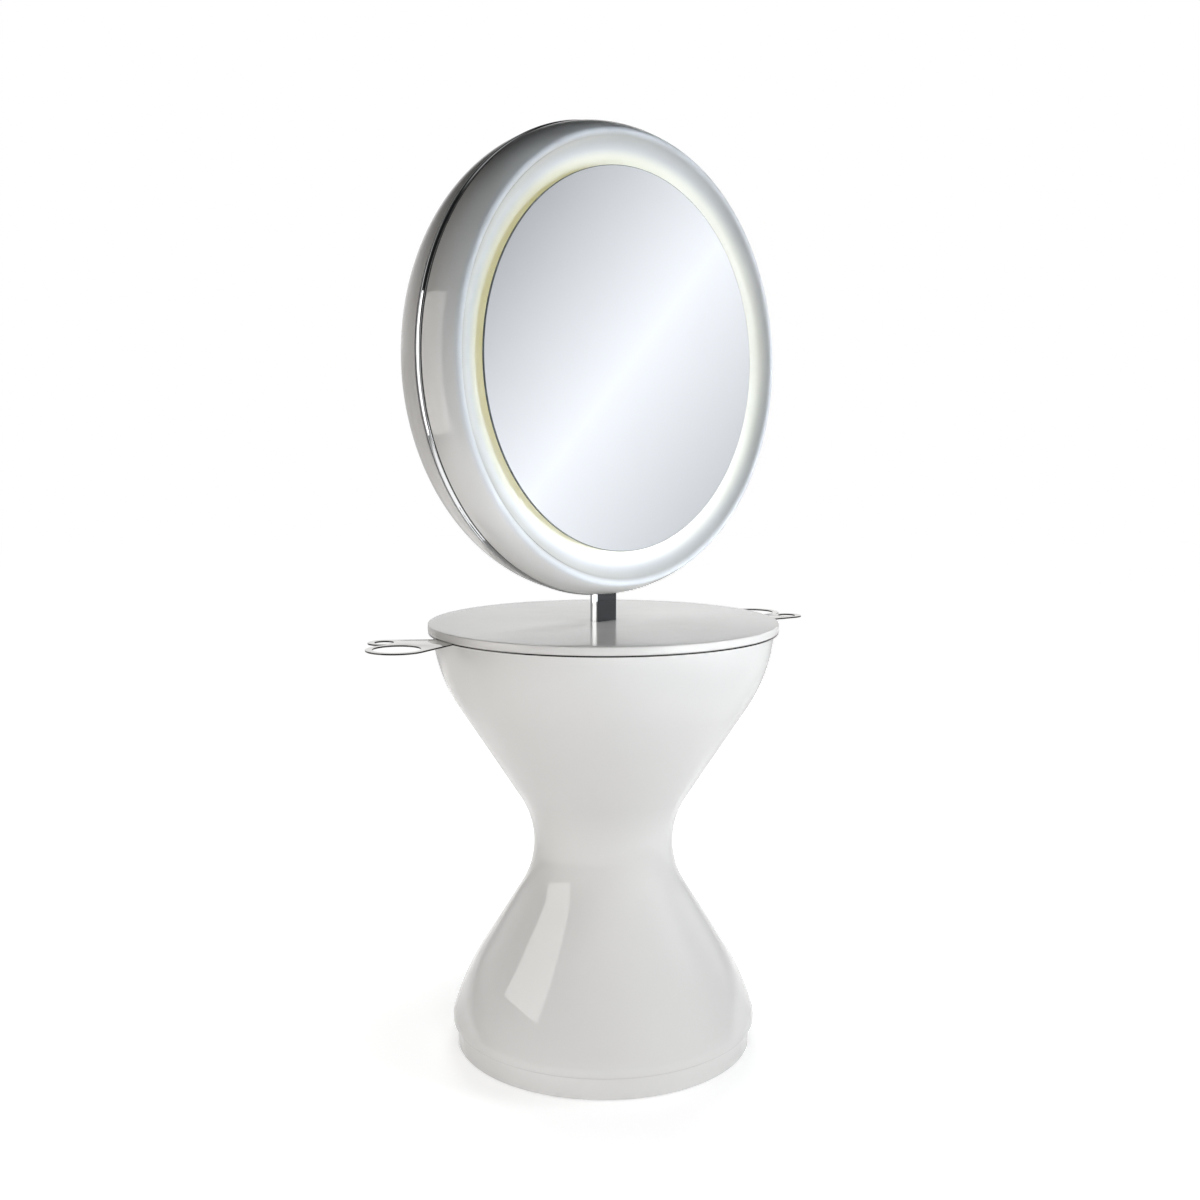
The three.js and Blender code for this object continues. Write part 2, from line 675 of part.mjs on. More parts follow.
// Everything that the head holds once on each face: side -1 is the front, side 1 the rear
function addHeadFace(word, side) {
  const place = (geometry) => {
    const turned = side < 0 ? geometry.rotateX(Math.PI) : geometry;
    return turned.translate(0, 0, headCentreHeight);
  };
  const turned = (outline, sides) => place(new THREE.LatheGeometry(outline, sides));
  const closed = (outline, sides) => turned([...outline, outline[0]], sides);

  addPiece(`${word}_shell`, closed(shellOutline(), bodySides), glossWhite);

  const plate = circleShape(corePlateRadius, discSides);
  ringPlaces(coreHoleCount, corePlateRadius - coreHoleInset, diagonal).forEach((hole) => {
    plate.holes.push(circleShape(coreHoleRadius, ringSides, hole.x, hole.y));
  });
  headBoltHeights.forEach((height) => {
    const along = -side * (height - headCentreHeight);
    plate.holes.push(circleShape(headBoltRadius + slipGap, smallSides, 0, along));
  });
  const plateBlank = raised(plate, headHalfGap, coreOuter).rotateX(-Math.PI / 2);
  addPiece(`${word}_core_plate`, place(plateBlank), paintedSteel);

  const standoffLength = coveInnerFace - coreOuter;
  ringPlaces(standoffCount, standoffReach, diagonal).forEach((spot, i) => {
    const rod = new THREE.CylinderGeometry(standoffRadius, standoffRadius, standoffLength, smallSides);
    rod.translate(spot.x, coreOuter + standoffLength / 2, spot.y);
    addPiece(`${word}_standoff_${i + 1}`, place(rod), zincSteel);
  });

  addPiece(`${word}_backing`, closed([
    point(backingBore, coveFloorDepth),
    point(backingRadius, coveFloorDepth),
    point(backingRadius, coveFloorDepth + backingThickness),
    point(backingBore, coveFloorDepth + backingThickness),
  ], discSides), fibreboard);

  const mirrorFace = mirrorBack + mirrorThickness;
  addPiece(`${word}_mirror`, turned([
    point(0, mirrorBack),
    point(mirrorRadius - mirrorEdgeRound, mirrorBack),
    point(mirrorRadius, mirrorBack + mirrorEdgeRound),
    point(mirrorRadius, mirrorFace - mirrorEdgeRound),
    point(mirrorRadius - mirrorEdgeRound, mirrorFace),
    point(0, mirrorFace),
  ], discSides), mirrorGlass);

  const lampDepth = coveFloorDepth + lampLift;
  const lamp = new THREE.TorusGeometry(lampRadius, lampTube, lampSides, lampSteps).rotateX(Math.PI / 2);
  addPiece(`${word}_lamp`, place(lamp.translate(0, lampDepth, 0)), lampGlass);

  for (let i = 0; i < clipCount; i += 1) {
    const clip = clipGeometry().rotateY(radians(90 + (360 * i) / clipCount));
    addPiece(`${word}_lamp_clip_${i + 1}`, place(clip), greyPlastic);
  }

  const driverShape = roundedRectangle(driverLength, driverWidth, driverRound);
  const driver = raised(driverShape, coreOuter, coreOuter + driverHeight).rotateX(-Math.PI / 2);
  addPiece(`${word}_lamp_driver`, place(driver.translate(-side * driverOffset, 0, 0)), greyPlastic);
}

// A spring clip that stands on the cove floor and reaches round the lower half of the lamp tube
function clipGeometry() {
  const cradle = lampTube + clipGap;
  const outside = cradle + clipWall;
  const shape = new THREE.Shape([
    point(-outside, 0),
    point(outside, 0),
    point(outside, lampLift),
    ...arcPoints(point(0, lampLift), cradle, 0, -Math.PI, ringSides / 2),
    point(-outside, lampLift),
  ]);
  return raised(shape, -clipWidth / 2, clipWidth / 2).translate(lampRadius, coveFloorDepth, 0);
}

addHeadFace('front', -1);
addHeadFace('rear', 1);

// Every piece is drawn round the post's axis, then shifted so that the box is centred
const boxCentre = new THREE.Box3().setFromObject(station).getCenter(new THREE.Vector3());
station.children.forEach((piece) => {
  piece.position.x -= boxCentre.x;
});

export default station;
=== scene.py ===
import math

import bmesh
import bpy
import numpy as np
from mathutils import Matrix, Vector, geometry


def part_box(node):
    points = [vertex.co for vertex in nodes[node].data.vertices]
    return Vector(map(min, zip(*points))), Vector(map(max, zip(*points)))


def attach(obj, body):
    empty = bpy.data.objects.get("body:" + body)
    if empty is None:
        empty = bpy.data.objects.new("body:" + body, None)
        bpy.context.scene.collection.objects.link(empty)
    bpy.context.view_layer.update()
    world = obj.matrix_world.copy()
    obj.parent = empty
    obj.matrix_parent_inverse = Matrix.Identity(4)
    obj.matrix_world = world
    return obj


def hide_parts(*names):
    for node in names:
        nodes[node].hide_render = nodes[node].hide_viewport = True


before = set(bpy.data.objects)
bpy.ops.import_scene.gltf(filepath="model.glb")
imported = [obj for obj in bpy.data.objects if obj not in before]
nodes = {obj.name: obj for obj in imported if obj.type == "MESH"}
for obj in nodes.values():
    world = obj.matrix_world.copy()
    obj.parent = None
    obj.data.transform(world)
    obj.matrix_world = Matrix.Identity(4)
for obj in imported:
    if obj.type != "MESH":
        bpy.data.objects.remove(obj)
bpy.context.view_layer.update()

plinthLow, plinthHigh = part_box("plinth_ring")
axisX = 1000 * (plinthLow.x + plinthHigh.x) / 2  # the post's axis in mm; all shapes are drawn round it
headHeight = 1376  # the head's middle above the floor, in mm
print("frame:", len(nodes), "nodes, post axis at x =", round(axisX, 2), "mm")


# shader maths: a Wire is one output socket, and + - * / on it add Math nodes
class Wire:
    def __init__(self, tree, socket=None):
        self.tree, self.socket = tree, socket

    # any node: its type, its settings first, then values or links of its sockets, and the output wanted
    def node(self, kind, settings=None, sockets=None, out=0):
        made = self.tree.nodes.new("ShaderNode" + kind)
        for key, value in (settings or {}).items():
            if key == "stops":
                stops = made.color_ramp.elements
                while len(stops) < len(value):
                    stops.new(1.0)
                for stop, (place, colour) in zip(stops, value):
                    stop.position, stop.color = place, colour
            else:
                setattr(made, key, value)
        for key, value in (sockets or {}).items():
            if isinstance(value, Wire):
                self.tree.links.new(value.socket, made.inputs[key])
            else:
                made.inputs[key].default_value = value
        return Wire(self.tree, made.outputs[out]) if len(made.outputs) else self

    def maths(self, operation, first, second):
        return self.node("Math", {"operation": operation}, {0: first, 1: second})

    def __add__(self, other):
        return self.maths("ADD", self, other)

    def __radd__(self, other):
        return self.maths("ADD", other, self)

    def __sub__(self, other):
        return self.maths("SUBTRACT", self, other)

    def __rsub__(self, other):
        return self.maths("SUBTRACT", other, self)

    def __mul__(self, other):
        return self.maths("MULTIPLY", self, other)

    def __rmul__(self, other):
        return self.maths("MULTIPLY", other, self)

    def __truediv__(self, other):
        return self.maths("DIVIDE", self, other)

    def vector(self, operation, other):  # this wire is the first vector
        return self.node("VectorMath", {"operation": operation}, {0: self, 1: Vector(other)}, "Vector")

    def dot(self, other):
        return self.node("VectorMath", {"operation": "DOT_PRODUCT"}, {0: self, 1: Vector(other)}, "Value")

    def length(self):
        return self.node("VectorMath", {"operation": "LENGTH"}, {0: self}, "Value")

    def part(self, axis):  # X, Y or Z of this vector
        return self.node("SeparateXYZ", {}, {0: self}, axis)

    def mix(self, first, second):  # colour between two, this wire is the factor
        return self.node("Mix", {"data_type": "RGBA"}, {0: self, 6: first, 7: second}, 2)

    def ease(self, low, high):  # 0 below low, 1 above high, smooth between
        return self.node("MapRange", {"interpolation_type": "SMOOTHSTEP"},
                         {"Value": self, "From Min": low, "From Max": high}, "Result")

    def noise(self, scale, detail=2.0, rough=0.5):  # this wire is the place
        return self.node("TexNoise", {"noise_dimensions": "3D"},
                         {"Vector": self, "Scale": scale, "Detail": detail, "Roughness": rough}, "Fac")

    def bump(self, strength, distance):  # this wire is the height
        return self.node("Bump", {}, {"Strength": strength, "Distance": distance, "Height": self}, "Normal")


def colour(red, green, blue):
    return (red, green, blue, 1.0)


def newFinish(name):
    finish = bpy.data.materials.new(name)
    finish.use_nodes = True
    finish.node_tree.nodes.clear()
    return finish, Wire(finish.node_tree)


def objectPlace(start):
    return start.node("TexCoord", out="Object")


def surface(start, sockets):
    shade = start.node("BsdfPrincipled", {}, sockets)
    start.node("OutputMaterial", {}, {"Surface": shade})


# distance from the head's axis, which runs from front to rear, or from a line beside it
def headReach(place, shift=0.0):
    offset = place.vector("SUBTRACT", (axisX / 1000 + shift, 0, headHeight / 1000))
    return offset.vector("MULTIPLY", (1, 0, 1)).length()


# painted light: warm glow emitted by the moulding beside the glass, standing in for the lamp's spill; yellower at
# one side, fading out towards the lip
def paintedCoveGlow(place, glow):
    across = place.part("X") - axisX / 1000
    tint = across.ease(*glow["turn"]).mix(glow["left"], glow["right"])
    return headReach(place, glow["fadeShift"]).ease(*glow["fade"]).mix(tint, colour(0, 0, 0))


# gloss moulding: pale with faint clouds, soft wipe marks and a very fine ripple; the head's moulding carries
# painted light: a warm glow it emits beside the glass in place of the lamp's spill, a painted cool tint and a
# painted shade ring
def glossFinish(name, look, glow=None):
    finish, start = newFinish(name)
    place = objectPlace(start)
    cloud = place.noise(look["cloudScale"], 3.0)
    wipe = place.noise(look["wipeScale"], 4.0, 0.6)
    ripple = place.noise(look["rippleScale"], 2.0)
    tone = cloud.ease(0.3, 0.7).mix(look["pale"], look["deep"])
    if glow is not None:  # painted light and shade: a cooler tint on the lip and cove for the cool light on them, and a painted shade ring, greyer, between the warm glow and the lip
        reach = headReach(place)
        tone = reach.ease(*glow["paintedCoolEdge"]).mix(glow["paintedCoolTone"], tone)
        # painted shade: a greyer ring in the cove's outer part, set off to one side, for the shade that falls there
        inside = headReach(place, glow["ringShift"]).ease(*glow["ringInner"])
        ring = inside * (1.0 - reach.ease(*glow["ringOuter"]))
        tone = ring.mix(tone, glow["paintedShadeTone"])
    # painted light: the head's moulding emits the warm glow beside the glass
    light = {} if glow is None else {"Emission Color": paintedCoveGlow(place, glow), "Emission Strength": 1.0}
    surface(start, {
        "Base Color": tone,
        "Roughness": look["rough"] + look["roughSpread"] * wipe.ease(0.35, 0.75),
        "IOR": look["ior"],
        "Normal": ripple.bump(look["rippleStrength"], 0.0004),
        **light,
    })
    return finish


# bright metal: smudged in patches, with fine polishing lines along one way
def metalFinish(name, look, paintedDark=None):
    finish, start = newFinish(name)
    place = objectPlace(start)
    smudge = place.noise(look["smudgeScale"], 4.0, 0.65).ease(0.45, 0.8)
    drawn = place.node("Mapping", {}, {"Vector": place, "Scale": look["lineScale"]}).noise(1.0, 3.0, 0.7)
    tone = smudge.mix(look["bright"], look["dull"])
    if paintedDark is not None:  # painted reflection: dark on the broad faces, bright on the narrow ones, standing in for what the chrome reflects
        offset = place.part("X") - axisX / 1000
        tone = (offset * offset).ease(paintedDark["from"] ** 2, paintedDark["to"] ** 2).mix(paintedDark["tone"], tone)
    if "cut" in look:  # edges painted near black: partly darker cut metal, partly a painted dark reflection along the plate's edges
        tilt = start.node("NewGeometry", out="Normal").part("Z")
        tone = (tilt * tilt).ease(0.25, 0.8).mix(look["cut"], tone)
    surface(start, {
        "Base Color": tone,
        "Metallic": 1.0,
        "Roughness": look["rough"] + look["roughSpread"] * smudge + look["lineRough"] * drawn,
        "Normal": drawn.bump(look["lineStrength"], 0.0002),
    })
    return finish


# matt finish: two tones in fine grain, uneven roughness and a grained surface
def grainFinish(name, look):
    finish, start = newFinish(name)
    place = objectPlace(start)
    grain = place.noise(look["grainScale"], 4.0, 0.7)
    patch = place.noise(look["patchScale"], 3.0)
    tone = (0.6 * grain + 0.4 * patch).ease(0.35, 0.68)
    surface(start, {
        "Base Color": tone.mix(look["pale"], look["deep"]),
        "Roughness": look["rough"] + look["roughSpread"] * patch,
        "Metallic": look.get("metal", 0.0),
        "Normal": grain.bump(look["grainStrength"], 0.0005),
    })
    return finish


glossLook = {"pale": colour(0.815, 0.81, 0.80), "deep": colour(0.79, 0.785, 0.772), "cloudScale": 2.3,
             "wipeScale": 6.0, "rough": 0.012, "roughSpread": 0.025, "rippleScale": 130.0,
             "rippleStrength": 0.01, "ior": 1.5}
tableLook = {"pale": colour(0.80, 0.79, 0.775), "deep": colour(0.775, 0.765, 0.748), "cloudScale": 5.0,
             "wipeScale": 9.0, "rough": 0.15, "roughSpread": 0.06, "rippleScale": 210.0,
             "rippleStrength": 0.02, "ior": 1.5}
chromeLook = {"bright": colour(0.66, 0.67, 0.68), "dull": colour(0.60, 0.605, 0.61), "smudgeScale": 14.0,
              "rough": 0.03, "roughSpread": 0.05, "lineRough": 0.02, "lineScale": (700.0, 700.0, 12.0),
              "lineStrength": 0.01}
# the steel's edge colour is near black, partly darker cut metal and partly painted dark reflection
steelLook = {"bright": colour(0.56, 0.55, 0.53), "dull": colour(0.50, 0.49, 0.47), "smudgeScale": 18.0,
             "cut": colour(0.05, 0.05, 0.05), "rough": 0.06, "roughSpread": 0.06, "lineRough": 0.04,
             "lineScale": (900.0, 30.0, 900.0), "lineStrength": 0.02}
zincLook = {"bright": colour(0.55, 0.57, 0.60), "dull": colour(0.44, 0.45, 0.47), "smudgeScale": 60.0,
            "rough": 0.26, "roughSpread": 0.14, "lineRough": 0.08, "lineScale": (500.0, 500.0, 60.0),
            "lineStrength": 0.05}
paintLook = {"pale": colour(0.085, 0.087, 0.09), "deep": colour(0.055, 0.057, 0.06), "grainScale": 900.0,
             "patchScale": 12.0, "rough": 0.42, "roughSpread": 0.18, "grainStrength": 0.18}
boardLook = {"pale": colour(0.43, 0.30, 0.185), "deep": colour(0.29, 0.19, 0.11), "grainScale": 650.0,
             "patchScale": 25.0, "rough": 0.62, "roughSpread": 0.2, "grainStrength": 0.35}
greyLook = {"pale": colour(0.40, 0.405, 0.41), "deep": colour(0.33, 0.335, 0.34), "grainScale": 1100.0,
            "patchScale": 20.0, "rough": 0.45, "roughSpread": 0.12, "grainStrength": 0.12}
rubberLook = {"pale": colour(0.038, 0.038, 0.04), "deep": colour(0.022, 0.022, 0.023), "grainScale": 800.0,
              "patchScale": 40.0, "rough": 0.66, "roughSpread": 0.2, "grainStrength": 0.25}

# the head's painted light and painted shade by distance from its axis in m, uneven from side to side; the post's
# painted dark reflection by distance from its own
headPaintedLight = {"left": colour(0.23, 0.205, 0.06), "right": colour(0.21, 0.195, 0.105), "turn": (-0.25, 0.36),
            "fade": (0.382, 0.404), "fadeShift": 0.019, "ringInner": (0.390, 0.412), "ringShift": 0.010,
            "ringOuter": (0.420, 0.427), "paintedShadeTone": colour(0.635, 0.655, 0.685),
            "paintedCoolTone": colour(0.775, 0.805, 0.845), "paintedCoolEdge": (0.430, 0.438)}
postPaintedReflection = {"from": 0.0262, "to": 0.0274, "tone": colour(0.085, 0.087, 0.092)}
glossWhite = glossFinish("gloss_white_coat", glossLook)
headWhite = glossFinish("head_white_coat", glossLook, headPaintedLight)
tableWhite = glossFinish("table_white_coat", tableLook)
chrome = metalFinish("chrome_plate", chromeLook)
postChromePaintedDark = metalFinish("chrome_painted_dark_reflection", chromeLook, postPaintedReflection)
polishedSteel = metalFinish("polished_steel_plate", steelLook)
zincSteel = metalFinish("zinc_plate", zincLook)
paintedSteel = grainFinish("painted_steel_coat", paintLook)
fibreboard = grainFinish("fibreboard_core", boardLook)
greyPlastic = grainFinish("grey_plastic_case", greyLook)
footRubber = grainFinish("foot_rubber_pad", rubberLook)


# silvered glass: bright and cool over the face, a grey ground edge outside the silver
def mirrorFinish(look):
    finish, start = newFinish("mirror_silver")
    place = objectPlace(start)
    edge = headReach(place).ease(look["silverRadius"], look["silverRadius"] + look["edgeFade"])
    haze = place.noise(look["hazeScale"], 4.0, 0.6).ease(0.4, 0.8)
    surface(start, {
        "Base Color": edge.mix(haze.mix(look["silver"], look["haze"]), look["edge"]),
        "Metallic": 1.0 - look["edgeDull"] * edge,
        "Roughness": look["rough"] + look["hazeRough"] * haze + look["edgeRough"] * edge,
    })
    return finish


# lit glass tube: warm glow that fades a little in patches
def lampFinish(look):
    finish, start = newFinish("lamp_glow")
    patch = objectPlace(start).noise(look["patchScale"], 2.0).ease(0.3, 0.7)
    surface(start, {
        "Base Color": patch.mix(look["pale"], look["deep"]),
        "Roughness": look["rough"] + look["roughSpread"] * patch,
        "Emission Color": patch.mix(look["glow"], look["dim"]),
        "Emission Strength": look["strength"],
    })
    return finish


mirrorLook = {"silver": colour(0.90, 0.925, 0.95), "haze": colour(0.885, 0.91, 0.935), "hazeScale": 7.0,
              "rough": 0.004, "hazeRough": 0.012, "edge": colour(0.10, 0.115, 0.12), "edgeRough": 0.3,
              "edgeDull": 0.75, "silverRadius": 0.3646, "edgeFade": 0.0006}
lampLook = {"pale": colour(0.9, 0.86, 0.76), "deep": colour(0.85, 0.8, 0.68), "patchScale": 30.0, "rough": 0.22,
            "roughSpread": 0.06, "glow": colour(1.0, 0.86, 0.58), "dim": colour(1.0, 0.84, 0.55),
            "strength": 0.5}
mirrorSilver = mirrorFinish(mirrorLook)
lampGlow = lampFinish(lampLook)
finishes = {"gloss_white": glossWhite, "table_white": tableWhite, "chrome": chrome, "mirror": mirrorSilver,
            "polished_steel": polishedSteel, "zinc_steel": zincSteel, "painted_steel": paintedSteel,
            "fibreboard": fibreboard, "lamp": lampGlow, "grey_plastic": greyPlastic, "foot_rubber": footRubber}
print("finishes:", len(finishes))


# shapes: points in mm round the post's axis, Z up
# four corners of each cell of a grid; a wrapped side joins its last line to its first
def gridFaces(rows, columns, wrapRows=True, wrapColumns=True):
    row = np.arange(rows if wrapRows else rows - 1)[:, None]
    column = np.arange(columns if wrapColumns else columns - 1)[None]
    below, beside = (row + 1) % rows, (column + 1) % columns
    return np.stack([row * columns + column, row * columns + beside,
                     below * columns + beside, below * columns + column], -1).reshape(-1, 4)


def addPiece(name, points, faces, slot, replaced, body="station", sharp=38, finish=None):
    mesh = bpy.data.meshes.new(name)
    placed = (points.reshape(-1, 3) + (axisX, 0, 0)) / 1000
    mesh.from_pydata(placed.tolist(), [], faces.tolist() if hasattr(faces, "tolist") else faces)
    work = bmesh.new()
    work.from_mesh(mesh)
    bmesh.ops.remove_doubles(work, verts=work.verts, dist=2e-6)
    bmesh.ops.recalc_face_normals(work, faces=work.faces)
    work.to_mesh(mesh)
    work.free()
    mesh.polygons.foreach_set("use_smooth", np.ones(len(mesh.polygons), bool))
    mesh.set_sharp_from_angle(angle=math.radians(sharp))
    mesh.materials.append(finish or finishes[slot])
    piece = bpy.data.objects.new(name, mesh)
    bpy.context.scene.collection.objects.link(piece)
    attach(piece, body)
    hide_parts(*replaced)


# middle of a CAD node seen from above, in mm from the post's axis
def nodeSpot(name):
    low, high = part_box(name)
    return 500 * (low.x + high.x) - axisX, 500 * (low.y + high.y)


# points on a circle at even steps from one angle to another, in degrees
def arc(centre, radius, first, last, count):
    angle = np.radians(np.linspace(first, last, count))
    return np.stack([centre[0] + radius * np.cos(angle), centre[1] + radius * np.sin(angle)], 1)


# a turned surface: each profile point (distance from the axis, place along it) swings once round the axis,
# so P = (r cos a, r sin a, h) upright, or (r cos a, h, r sin a) about the head's axis
def turned(profile, sides, height=None):
    angle = np.linspace(0, 2 * np.pi, sides, endpoint=False)
    across = np.outer(profile[:, 0], np.cos(angle))
    aside = np.outer(profile[:, 0], np.sin(angle))
    along = np.repeat(profile[:, 1:2], sides, 1)
    if height is None:
        return np.stack([across, aside, along], -1)
    return np.stack([across, along, aside + height], -1)


# corner points joined by straight runs, each corner replaced by an arc of its own bend; where two arcs
# want more than the run between them, they share it in proportion
def bentOutline(corners, steps):
    spot = np.array([corner[:2] for corner in corners], float)
    bend = np.array([corner[2] for corner in corners], float)
    before, after = spot[:-2] - spot[1:-1], spot[2:] - spot[1:-1]
    sideBefore, sideAfter = np.linalg.norm(before, axis=1), np.linalg.norm(after, axis=1)
    before, after = before / sideBefore[:, None], after / sideAfter[:, None]
    half = np.arccos(np.sum(before * after, 1)) / 2
    run = np.concatenate([[0], bend[1:-1] / np.tan(half), [0]])
    reach = np.minimum(run[1:-1], np.minimum(sideBefore * run[1:-1] / (run[1:-1] + run[:-2]),
                                             sideAfter * run[1:-1] / (run[1:-1] + run[2:])))
    radius = reach * np.tan(half)
    middle = (before + after) / np.linalg.norm(before + after, axis=1)[:, None]
    centre = spot[1:-1] + middle * (radius / np.sin(half))[:, None]
    start = spot[1:-1] + before * reach[:, None] - centre
    finish = spot[1:-1] + after * reach[:, None] - centre
    first, last = np.arctan2(start[:, 1], start[:, 0]), np.arctan2(finish[:, 1], finish[:, 0])
    sweep = (last - first + np.pi) % (2 * np.pi) - np.pi
    angle = first[:, None] + sweep[:, None] * np.linspace(0, 1, steps)
    bends = centre[:, None] + radius[:, None, None] * np.stack([np.cos(angle), np.sin(angle)], -1)
    return np.concatenate([spot[:1], bends.reshape(-1, 2), spot[-1:]])


# pedestal: an hourglass outline turned upright, with an inner wall at an even distance and a foot flange
pedestal = {"rim": (341, 846.3), "foot": (309, 49.7), "rimRound": 0.8, "tuck": 3.0, "ledge": 294, "wall": 5,
            "bends": [(333.5, 766, 325), (108.5, 417, 178), (283, 140, 550), (309, 61, 48)],
            "innerLow": 49.8, "innerHigh": 846, "steps": 34, "sides": 224}
(rimRadius, rimHeight), (footRadius, footHeight) = pedestal["rim"], pedestal["foot"]
outer = bentOutline([(*pedestal["rim"], 0), *pedestal["bends"], (*pedestal["foot"], 0)], pedestal["steps"])
slope = np.gradient(outer, axis=0)
normal = np.stack([-slope[:, 1], slope[:, 0]], 1) / np.linalg.norm(slope, axis=1)[:, None]
inner = (outer - pedestal["wall"] * normal)[::-1]
inner = inner[(inner[:, 1] > pedestal["innerLow"]) & (inner[:, 1] < pedestal["innerHigh"])]
pedestalProfile = np.concatenate([
    arc((rimRadius - pedestal["rimRound"], rimHeight), pedestal["rimRound"], 90, 0, 5), outer[1:-1],
    arc((footRadius - pedestal["tuck"], footHeight), pedestal["tuck"], 0, -90, 7),
    [(pedestal["ledge"], footHeight - pedestal["tuck"]), (pedestal["ledge"], footHeight),
     (footRadius - pedestal["wall"], footHeight)],
    inner[::3], [(rimRadius - pedestal["wall"], rimHeight + pedestal["rimRound"])]])
addPiece("pedestalMoulding", turned(pedestalProfile, pedestal["sides"]),
         gridFaces(len(pedestalProfile), pedestal["sides"]), "gloss_white", ["pedestal_shell"])

# plinth: a ring wall with both outer edges rounded
plinth = {"radius": 300, "wall": 6, "low": 2, "high": 46.4, "round": 1.5, "sides": 224}
plinthEdge = plinth["radius"] - plinth["round"]
plinthProfile = np.concatenate([
    [(plinth["radius"] - plinth["wall"], plinth["low"])],
    arc((plinthEdge, plinth["low"] + plinth["round"]), plinth["round"], -90, 0, 6),
    arc((plinthEdge, plinth["high"] - plinth["round"]), plinth["round"], 0, 90, 6),
    [(plinth["radius"] - plinth["wall"], plinth["high"])]])
addPiece("plinthRing", turned(plinthProfile, plinth["sides"]),
         gridFaces(len(plinthProfile), plinth["sides"]), "gloss_white", ["plinth_ring"])

# levelling feet: a grooved rubber pad with rounded edges under a threaded stud, the thread as a zigzag profile
foot = {"padRadius": 22, "padHeight": 6, "lowRound": 1.0, "highRound": 1.6,
        "groove": [(12, 0), (12.6, 0.5), (15, 0.5), (15.6, 0)], "collar": [(8, 6), (7, 7), (5, 7.2)],
        "studRadius": 5, "studTop": 38, "threadLow": 8, "threadPitch": 1.6, "threadDepth": 0.5, "sides": 48}
threadCount = int((foot["studTop"] - foot["threadLow"]) / foot["threadPitch"])
threadHeight = np.linspace(foot["threadLow"], foot["studTop"] - 1, 2 * threadCount + 1)
threadRadius = foot["studRadius"] - foot["threadDepth"] * (np.arange(2 * threadCount + 1) % 2)
footProfile = np.concatenate([
    [(0, 0), *foot["groove"]],
    arc((foot["padRadius"] - foot["lowRound"], foot["lowRound"]), foot["lowRound"], -90, 0, 5),
    arc((foot["padRadius"] - foot["highRound"], foot["padHeight"] - foot["highRound"]), foot["highRound"], 0, 90, 6),
    foot["collar"], np.stack([threadRadius, threadHeight], 1),
    [(foot["studRadius"] - 1, foot["studTop"]), (0, foot["studTop"])]])
for number in range(1, 5):
    addPiece(f"levellingFoot{number}", turned(footProfile, foot["sides"]) + (*nodeSpot(f"foot_{number}"), 0),
             gridFaces(len(footProfile), foot["sides"], wrapRows=False), "foot_rubber",
             [f"foot_{number}"], f"foot_{number}")
print("base: pedestal, plinth and feet")


# distance along each ray from the centre to a rectangle with rounded corners
def roundedReach(angle, width, depth, corner):
    ray = np.stack([np.cos(angle), np.sin(angle)], 1)
    low, high = np.zeros(len(angle)), np.full(len(angle), width + depth)
    for _ in range(50):
        reach = (low + high) / 2
        away = np.abs(ray * reach[:, None]) - (width / 2 - corner, depth / 2 - corner)
        outside = np.linalg.norm(np.maximum(away, 0), axis=1) + np.minimum(away.max(1), 0) > corner
        low, high = np.where(outside, low, reach), np.where(outside, reach, high)
    return reach


# angles bunched towards the corners of the slot, so that its ends are as smooth as its sides
def slotAngles(count, stretch=2.2):
    even = np.linspace(0, 2 * np.pi, count, endpoint=False)
    return np.arctan2(np.sin(even) / stretch, np.cos(even))


# table top: rings between the slot's outline and the rim, on top and below, joined by the rounded edge
# outside and by the slot's wall inside; P = slot(a) + t (rim(a) - slot(a))
table = {"radius": 350, "low": 850.4, "high": 866.4, "round": 2.5, "slot": (60.6, 20.6, 5.3),
         "spread": (0.0, 0.03, 0.1, 0.25, 0.5, 0.75, 0.92, 1.0), "sides": 288}
tableAngle = np.linspace(0, 2 * np.pi, table["sides"], endpoint=False)
tableWay = np.stack([np.cos(tableAngle), np.sin(tableAngle)], 1)
slotReach = roundedReach(tableAngle, *table["slot"])
rim = table["radius"] - table["round"]
share = np.array(table["spread"])
topReach = slotReach + share[:, None] * (rim - slotReach)
edgeArc = np.concatenate([arc((rim, table["high"] - table["round"]), table["round"], 90, 0, 9)[1:],
                          arc((rim, table["low"] + table["round"]), table["round"], 0, -90, 9)[:-1]])
tableReach = np.concatenate([topReach, np.repeat(edgeArc[:, :1], table["sides"], 1), topReach[::-1]])
tableHeight = np.concatenate([np.full(len(share), table["high"]), edgeArc[:, 1],
                              np.full(len(share), table["low"])])
tablePoints = np.concatenate([tableReach[..., None] * tableWay,
                              np.repeat(tableHeight[:, None, None], table["sides"], 1)], -1)
addPiece("tableTop", tablePoints, gridFaces(len(tableHeight), table["sides"]), "table_white", ["table_top"])


# outline of two circles and the two straight lines that touch both
def linkOutline(start, startRadius, end, endRadius, count=160):
    along = np.subtract(end, start)
    heading = math.degrees(math.atan2(along[1], along[0]))
    lean = math.degrees(math.acos((startRadius - endRadius) / np.linalg.norm(along)))
    return np.concatenate([arc(end, endRadius, heading - lean, heading + lean, count),
                           arc(start, startRadius, heading + lean, heading - lean + 360, count)])


# the same closed outline with points at even spacing
def evenOutline(outline, spacing):
    closed = np.concatenate([outline, outline[:1]])
    length = np.concatenate([[0], np.cumsum(np.linalg.norm(np.diff(closed, axis=0), axis=1))])
    place = np.linspace(0, length[-1], int(length[-1] / spacing), endpoint=False)
    return np.stack([np.interp(place, length, closed[:, 0]), np.interp(place, length, closed[:, 1])], 1)


# how far each point lies outside a convex outline that runs anticlockwise
def outsideBy(points, outline):
    edge = np.roll(outline, -1, 0) - outline
    size = np.linalg.norm(edge, axis=1)
    keep = size > 1e-9
    face = np.stack([edge[keep, 1], -edge[keep, 0]], 1) / size[keep, None]
    return (points @ face.T - np.sum(face * outline[keep], 1)).max(1)


